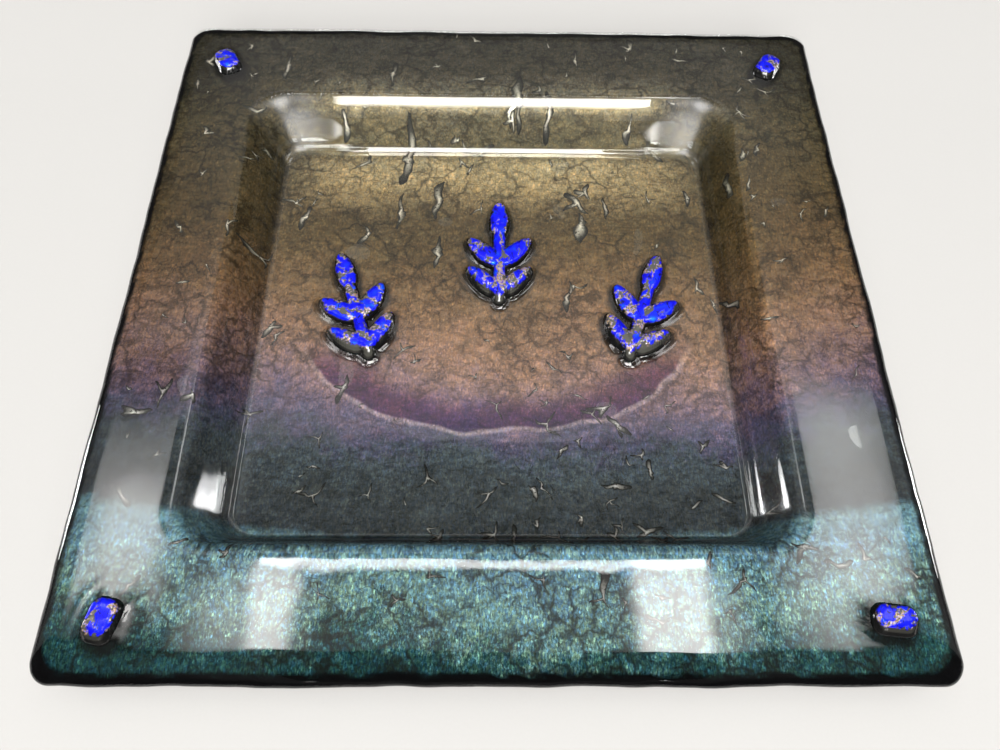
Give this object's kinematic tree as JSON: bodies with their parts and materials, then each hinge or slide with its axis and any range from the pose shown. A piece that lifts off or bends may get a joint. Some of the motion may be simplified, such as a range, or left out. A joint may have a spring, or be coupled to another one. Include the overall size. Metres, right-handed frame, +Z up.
{
  "type": "challah tray",
  "caption": "Square fused-glass challah tray with a level rim, a shallow square well, raised wheat ears on its floor and a raised chip on each rim corner.",
  "frame": {"origin": "middle of the flat underside, on the table", "axes": "+Z up out of the well, +Y towards the back rim, to which the ears of wheat point, +X to the right"},
  "size_m": [0.305, 0.305, 0.0264],
  "materials": {
    "black_glass": "opaque black glass with an iridised top face",
    "clear_glass": "clear, fire-polished",
    "dichroic_glass": "fire-polished, over broken cobalt blue dichroic film"
  },
  "bodies": {
    "root": {"base_sheet": "black_glass", "clear_cap_sheet": "clear_glass", "left_wheat_ear": "dichroic_glass", "middle_wheat_ear": "dichroic_glass", "right_wheat_ear": "dichroic_glass", "back_left_chip": "dichroic_glass", "back_right_chip": "dichroic_glass", "front_left_chip": "dichroic_glass", "front_right_chip": "dichroic_glass"}
  },
  "joints": []
}
